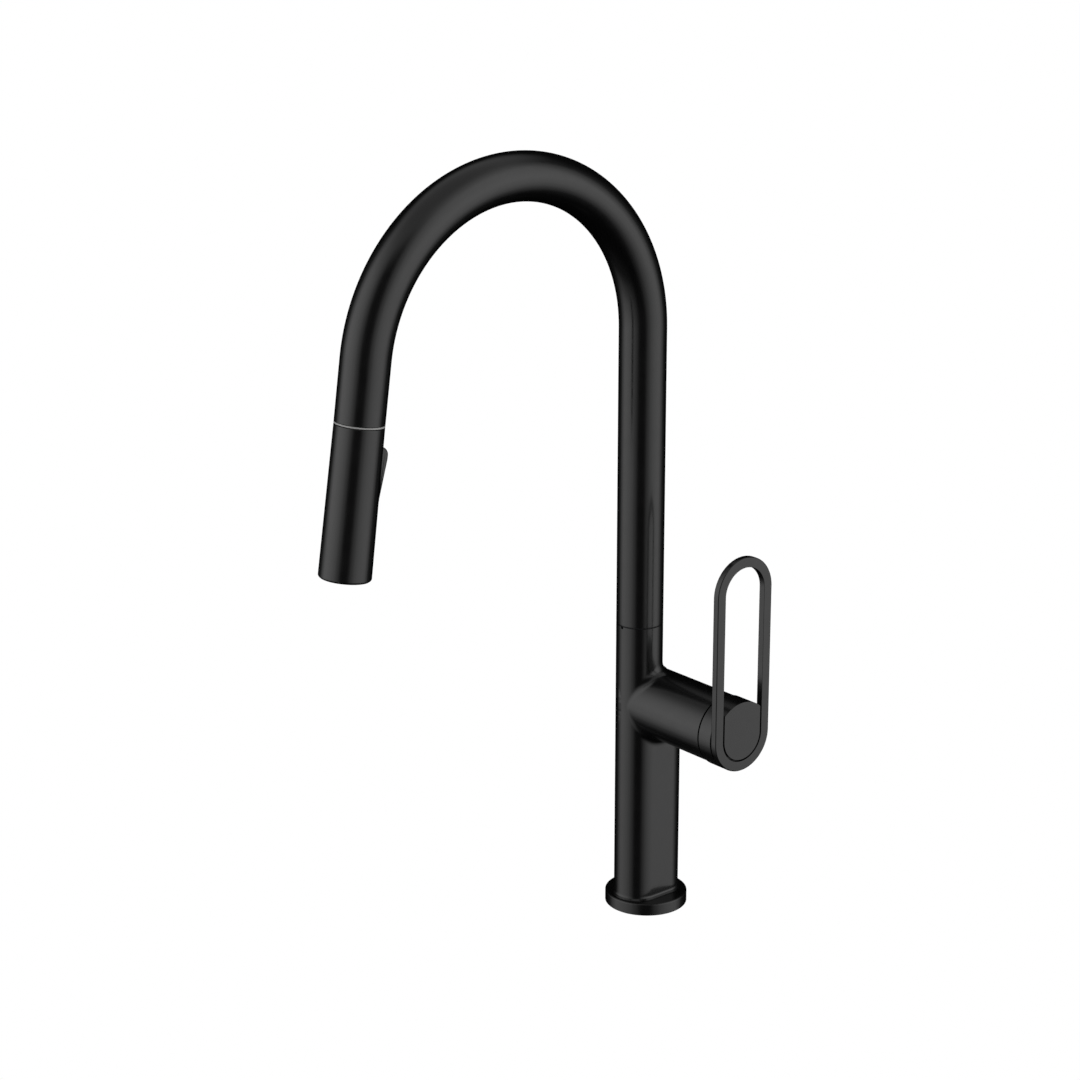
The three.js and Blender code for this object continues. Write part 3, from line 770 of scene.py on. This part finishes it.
def make_dock():
    """The pale ring that shows as a line at the tip, and the magnet above it that holds the head."""
    line, proud = 0.9, 0.02
    way, collar_top = 8.8, 20
    rim, bore = TUBE_R + proud, TUBE_R - TUBE_WALL - GAP
    collar = lathe("dock_ring", [(way, 0, 0.5), (rim, 0, 0.12), (rim, line, 0.12), (bore, line),
                                 (bore, collar_top), (way, collar_top)], TO_DOCK)
    dress(crease(collar), "grey_nylon", "spout", "dock_collar")
    low, high = collar_top + GAP, collar_top + GAP + 6
    magnet = lathe("docking_magnet", [(9, low, 0.4), (12, low, 0.4), (12, high, 0.4), (9, high, 0.4)],
                   TO_DOCK, FINE)
    dress(crease(magnet), "magnet", "spout", "dock_magnet")


def unwrap_braid(hose, facets, walls, lengths):
    """UV for the hose's walls: X turns round it once for each strand, Y runs along it by length."""
    strands, lay = 14, 0.9
    layer = hose.data.uv_layers.new(name="braid")
    for polygon in hose.data.polygons[:walls]:
        ring, k = divmod(polygon.index, facets)
        for corner, loop in enumerate(polygon.loop_indices):
            column = k + (corner in (1, 2))
            row = ring + (corner in (2, 3))
            layer.data[loop].uv = (column / facets * 2 * math.pi * strands, lengths[row] * lay)


def hose_tube(name, centres, axes, lengths):
    """A round hose with flat ends, unwrapped for its braid."""
    facets = 32
    section = circle(HOSE_R, facets)
    verts = [point for centre, axis in zip(centres, axes) for point in ring_across(centre, axis, section)]
    walls = ring_faces(len(centres), facets, closed=False)
    ends = [list(reversed(range(facets))), [len(verts) - facets + k for k in range(facets)]]
    hose = from_arrays(name, verts, walls + ends)
    unwrap_braid(hose, facets, len(walls), lengths)
    face_out(hose)
    return crease(hose, 50)


HOSE_LOW = 12
HOSE_SPLIT = 32.0  # above the dock: below this the hose slides out with the spray head
HOSE_END = 8.0


def make_hose():
    """The hose in the spout as far as the tip, and its last stretch, the part that draws out with the head, as a
    piece of its own.
    """
    centres, axes = neck(HOSE_LOW, TIP_STRAIGHT - HOSE_SPLIT, 90, 60, 2)
    lengths = [0.0]
    for a, b in zip(centres, centres[1:]):
        lengths.append(lengths[-1] + (Vector(b) - Vector(a)).length)
    dress(hose_tube("hose_in_spout", centres, axes, lengths), "braid", "spout", "pull_out_hose")

    # Rings lie evenly, and the braid is unwrapped, along the stretch as it is when fully drawn out.
    span, rows = HOSE_SPLIT - HOSE_END, 140
    at_rest = np.linspace(0, 1, 2001)
    drawn = at_rest * span + PULL * at_rest**2 * (3 - 2 * at_rest)
    lengths = np.linspace(0, drawn[-1], rows)
    up = TO_DOCK.to_3x3() @ Vector((0, 0, 1))
    top, end = DOCK + up * HOSE_SPLIT, DOCK + up * HOSE_END
    places = [tuple(top - up * (t * span)) for t in np.interp(lengths, drawn, at_rest)]
    pulled = hose_tube("hose_pulled", places, [tuple(-up)] * rows, list(lengths))
    pulled.data.materials.append(FINISH["braid"])
    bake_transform(pulled)


def make_hose_end():
    """The crimped ferrule on the hose, and the nipple that the spray head turns on."""
    foot, crest, groove, bore = 3.0, 7.4, 6.9, HOSE_R + 0.35
    seat = HOSE_END - GAP
    ferrule = [(0, foot), (6.4, foot, 0.4), (crest, 4.4, 0.4)]
    for low in (9.0, 15.4):
        ferrule += [(crest, low, 0.3), (groove, low + 0.6, 0.3), (groove, low + 3, 0.3),
                    (crest, low + 3.6, 0.3)]
    ferrule += [(crest, 22.4, 0.5), (groove, 24.0, 0.3), (bore, 24.0), (bore, seat), (0, seat)]
    dress(crease(lathe("hose_end_ferrule", ferrule, TO_DOCK, FINE, 3)), "steel", "hose_end", "hose_ferrule")
    stem, ring_groove, flange = 4.6, 3.9, 6
    nipple = [(0, -13.7), (stem, -13.7, 0.5), (stem, -11.7), (ring_groove, -11.5), (ring_groove, -10.1),
              (stem, -9.9), (stem, -4.6), (flange, -3.4, 0.3), (flange, foot - GAP, 0.4), (0, foot - GAP)]
    dress(crease(lathe("nipple", nipple, TO_DOCK, SMALL, 3)), "brass", "hose_end", "swivel_nipple")


# ---- Spray head -----------------------------------------------------------------------------------

BUTTON_TOP, BUTTON_LOW, BUTTON_HALF = -12.2, -43.4, 4.75


def shell_radius(z):
    return SPRAY_TOP_R + (SPRAY_END_R - SPRAY_TOP_R) * -z / SPRAY_LENGTH


def button_window():
    """The tool that cuts the button's window through the shell's side."""
    side, corner = BUTTON_HALF + GAP, 1.2
    foot, head = BUTTON_LOW - GAP, BUTTON_TOP + 0.55
    window = rounded([(-side, foot, corner), (side, foot, corner),
                      (side, head, corner), (-side, head, corner)])
    # Outline X stays X and outline Y is the height; the extrusion runs outwards.
    to_side = TO_DOCK @ Matrix(((1, 0, 0, 0), (0, 0, 1, 0), (0, 1, 0, 0), (0, 0, 0, 1)))
    return prism("window", window, 6, 20, to_side)


def make_spray():
    """The spray head's tapered shell, and the ring that the docking magnet catches."""
    wall, roof, mouth = 1.6, -3.2, 7
    end = -SPRAY_LENGTH
    profile = [(mouth, roof), (SPRAY_TOP_R - wall, roof), (SPRAY_END_R - wall, end + 0.6),
               (SPRAY_END_R - wall + 0.4, end, 0.3), (SPRAY_END_R, end, 1.5),
               (SPRAY_TOP_R, -GAP, 0.45), (mouth, -GAP, 0.6)]
    shell = lathe("spray_head", profile, TO_DOCK, ROUND, 6)
    cut(shell, [button_window()])
    dress(crease(shell), "black_satin", "spray", "spray_shell")
    low, high = -7.2, roof - GAP
    catch_ring = lathe("catch", [(8, low, 0.3), (11.8, low, 0.3), (11.8, high, 0.3), (8, high, 0.3)],
                       TO_DOCK, FINE)
    dress(crease(catch_ring), "steel", "spray", "catch_ring")


def make_spray_face():
    """The carrier, the rubber face with two rings of jets, and the aerator in its middle."""
    face = -SPRAY_LENGTH + 1.2
    seat, rim, back = 7.2, 12.7, -66.3
    carrier = lathe("nozzle_carrier", [(seat, face + 1), (rim, face + 1), (rim, back), (seat, back)],
                    TO_DOCK, FINE)
    dress(crease(carrier), "dark_plastic", "spray", "face_carrier")

    inner, outer, low, high = seat + GAP, SPRAY_END_R - 1.9, face - 0.2, face + 0.7
    pad = lathe("nozzle_face", [(inner, high), (inner, low, 0.2), (outer, low, 0.2), (outer, high)],
                TO_DOCK, FINE, 3)
    jets = bmesh.new()
    jets.from_mesh(pad.data)
    for radius, count, turn in ((11.6, 20, 0.0), (9.3, 16, 0.5)):
        for k in range(count):
            a = 2 * math.pi * (k + turn) / count
            spot = TO_DOCK @ Matrix.Translation((radius * math.cos(a), radius * math.sin(a), face - 0.1))
            add_nozzle(jets, spot)
    jets.to_mesh(pad.data)
    jets.free()
    dress(crease(pad, 45), "rubber", "spray", "nozzle_pad")
    make_aerator(face)


def add_nozzle(bm, place):
    """One rubber jet: a small cone with a rounded tip and a hole in it."""
    rings = [(0.85, 0.15), (0.8, -0.25), (0.62, -0.62), (0.45, -0.74), (0.3, -0.7), (0.26, -0.3),
             (0.0, -0.25)]
    facets = 16
    rows = []
    for r, z in rings:
        if r == 0:
            rows.append([bm.verts.new((place @ Vector((0, 0, z))) * MM)] * facets)
            continue
        rows.append([bm.verts.new((place @ Vector((x, y, z))) * MM) for x, y in circle(r, facets)])
    bm.faces.new(rows[0])
    for low, high in zip(rows, rows[1:]):
        for k in range(facets):
            j = (k + 1) % facets
            quad = [low[k], high[k], high[j], low[j]]
            if quad[1] is quad[2]:
                quad = [low[k], high[k], low[j]]
            bm.faces.new(quad)


def make_aerator(face):
    """The aerator's housing with its grid of square cells."""
    well, lip, rim, back = 5.3, 5.6, 6.9, -69.3
    shape = [(0, face + 1.6), (well, face + 1.6), (well, face + 0.1, 0.2), (lip, face - 0.3, 0.2),
             (rim, face - 0.3, 0.3), (rim, back), (0, back)]
    housing = lathe("aerator_insert", shape, TO_DOCK, FINE, 3)
    mesh = bmesh.new()
    mesh.from_mesh(housing.data)
    pitch, web, depth, middle, reach = 1.25, 0.22, 1.4, face + 1.0, 5.2
    for k in range(-4, 5):
        at = k * pitch
        length = 2 * math.sqrt(reach**2 - at**2)
        for size, spot in (((length, web, depth), (0, at, middle)), ((web, length, depth), (at, 0, middle))):
            bar = TO_SMALL @ TO_DOCK @ Matrix.Translation(spot) @ Matrix.Diagonal((*size, 1))
            bmesh.ops.create_cube(mesh, size=1, matrix=bar)
    mesh.to_mesh(housing.data)
    mesh.free()
    dress(crease(housing, 40), "dark_plastic", "spray", "aerator")


def make_button():
    """A wedge that stands out at its top and runs flush into the shell at its foot."""
    low, top, inner = BUTTON_LOW, BUTTON_TOP, 9.4
    outline = rounded([
        (low, inner + 2), (low, shell_radius(low) + 0.7, 0.4), (top - 7.5, 18.4, 9.0),
        (top - 0.1, 18.8, 4.8), (top, inner + 1.6), (top - 2, inner), (low + 6, inner),
    ], True, 8)
    # Outline X is the height and outline Y the reach; the extrusion runs across.
    to_side = TO_DOCK @ Matrix(((0, 0, 1, 0), (0, 1, 0, 0), (1, 0, 0, 0), (0, 0, 0, 1)))
    button = prism("spray_button", outline, -BUTTON_HALF, BUTTON_HALF, to_side, 1.4, 6, inner + 1.5)
    dress(crease(button, 40), "black_satin", "button", "rocker_button")


# ---- Handle ---------------------------------------------------------------------------------------


HUB_GAP = 1.45  # between hub and barrel
BOSS_GAP = 1.0  # between the boss and the loop round it
BOSS_TOOTH = 1.5  # how deep the boss roots in the hub


def boss_outline():
    """Round as the hub above, and a smaller round below, inside the loop."""
    above, below = HANDLE_R, LOOP_INNER_R - BOSS_GAP
    bend = math.acos(below / above)
    arcs = ((above, bend, math.pi - bend), (below, math.pi, 2 * math.pi))
    return [(radius * math.cos(a), radius * math.sin(a))
            for radius, start, end in arcs for a in np.linspace(start, end, SMALL)]


def make_hub():
    """A cup over the barrel's end, with a boss that fills the loop's foot and a socket for the stem."""
    back, ceiling, skirt = BARREL_END + HUB_GAP, 73.5, 20.5
    front = LOOP_BACK - 0.5
    hub = lathe("hub", [(0, ceiling), (skirt, ceiling, 0.6), (skirt, back, 0.1), (HANDLE_R, back, 0.15),
                        (HANDLE_R, front, 0.3), (0, front)], TO_VALVE, ROUND, 4)
    cut(hub, [prism("boss", boss_outline(), LOOP_BACK - BOSS_TOOTH, HANDLE_FACE, TO_VALVE, 0.15, 2)], "UNION")
    cut(hub, [prism("stub", circle(6.8, SMALL), 69, ceiling + 1, TO_VALVE)], "UNION")
    half = 4.2
    square = [(-half, -half), (half, -half), (half, half), (-half, half)]
    socket = prism("socket", square, 60, 78.3, TO_VALVE)
    up = TO_VALVE @ Matrix.Translation((0, -23, 75.5)) @ Matrix.Rotation(-math.pi / 2, 4, "X")
    cut(hub, [socket, prism("grub", circle(1.7, TINY), 0, 20, up)])
    dress(crease(hub, 30), "black_satin", "handle", "handle_hub")


def make_loop():
    """A flat bar bent into a tall slot, all its edges softened."""
    middle = (LOOP_INNER_R + HANDLE_R) / 2
    half_wide = (HANDLE_R - LOOP_INNER_R) / 2
    edge, inner_edge, arc = 0.75, 0.25, 64
    section = rounded([(-half_wide, LOOP_BACK, inner_edge), (half_wide, LOOP_BACK, edge),
                       (half_wide, HANDLE_FACE, edge), (-half_wide, HANDLE_FACE, inner_edge)], True, 4)
    spine = [(math.pi * k / arc, LOOP_RISE) for k in range(arc + 1)]
    spine += [(math.pi + math.pi * k / arc, 0.0) for k in range(arc + 1)]
    verts = [((middle + reach) * math.cos(angle), rise + (middle + reach) * math.sin(angle), along)
             for angle, rise in spine for reach, along in section]
    loop = from_arrays("loop", verts, ring_faces(len(spine), len(section), closed=True), TO_VALVE)
    face_out(loop)
    dress(crease(loop, 35), "black_satin", "handle", "handle_loop")


def make_cartridge_front():
    """What the open seam shows when the handle is lifted: the clamp nut and its bonnet."""
    nut_r, low, high = BORE_R - 0.15, 52.3, 58
    nut = lathe("clamp_nut", [(9.8, low), (nut_r, low), (nut_r, high, 0.3), (9.8, high, 0.6)], TO_VALVE, FINE)
    dress(crease(nut), "brass", "column", "cartridge_nut")
    bonnet_r, foot, step, top = BORE_R - 0.2, high + GAP, 61.5, 63.5
    bonnet = lathe("bonnet", [(12, foot), (bonnet_r, foot), (bonnet_r, step, 0.5), (15, top, 0.8),
                              (12, top, 0.5)], TO_VALVE, FINE)
    dress(crease(bonnet), "black_satin", "column", "bonnet_ring")


# ---- The rest of the CAD model --------------------------------------------------------------------


def dress_frame():
    """Every CAD node that is still shown takes the finish of its slot."""
    slots = {part["node"]: part["material_slot"] for part in frame["record"]["subparts"]}
    for name, node in frame["nodes"].items():
        node.data.materials.clear()
        node.data.materials.append(FINISH[slots[name]])


make_camera()
make_stage()
make_studio()
bpy.context.scene.view_settings.view_transform = "Standard"
FINISH = make_materials()
dress_frame()
make_column()
make_base()
make_spout()
make_dock()
make_hose()
make_hose_end()
make_spray()
make_spray_face()
make_button()
make_hub()
make_loop()
make_cartridge_front()
